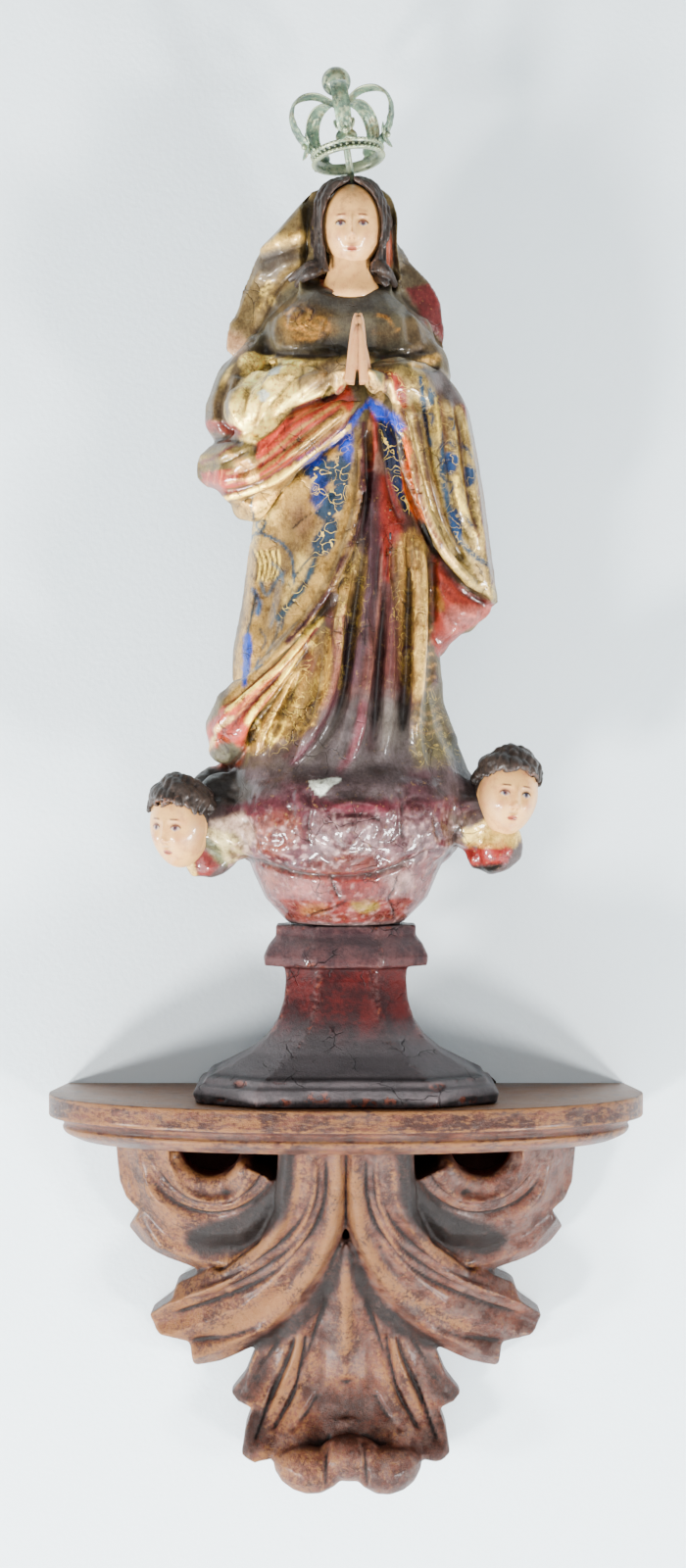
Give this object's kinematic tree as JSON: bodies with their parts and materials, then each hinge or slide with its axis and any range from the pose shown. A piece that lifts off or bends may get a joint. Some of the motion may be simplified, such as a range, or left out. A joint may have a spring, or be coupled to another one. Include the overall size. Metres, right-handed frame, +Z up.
{
  "type": "wooden madonna statue",
  "caption": "Carved and painted wooden madonna with praying hands and a metal crown, on a cloud with cherub heads, on an octagonal pedestal over a carved acanthus wall bracket.",
  "frame": {"origin": "in the flat back face of the bracket's shelf, on the object's centre line, 12 mm below the shelf's top", "axes": "+Z up, +Y into the wall, -Y the front that the figure faces, +X to the right as seen from the front"},
  "size_m": [0.308, 0.126, 0.735],
  "materials": {
    "gilt_metal": "worn gilt metal with a pale green tarnish",
    "polychrome_wood": "carved wood in worn gold leaf with blue, coral, maroon and flesh paint, glossy in places and dusty in the hollows",
    "painted_wood": "carved wood in dark red glaze, glossy on the neck, worn and chipped at the foot",
    "gilt_wood": "rubbed gold over red ground with a dark toning in the hollows, satin",
    "iron": "dark forged plate, dull"
  },
  "bodies": {
    "root": {"crown": "gilt_metal", "figure": "polychrome_wood", "pedestal": "painted_wood", "bracket_shelf": "gilt_wood", "bracket_console": "gilt_wood", "hanger_left": "iron", "hanger_right": "iron"}
  },
  "joints": []
}
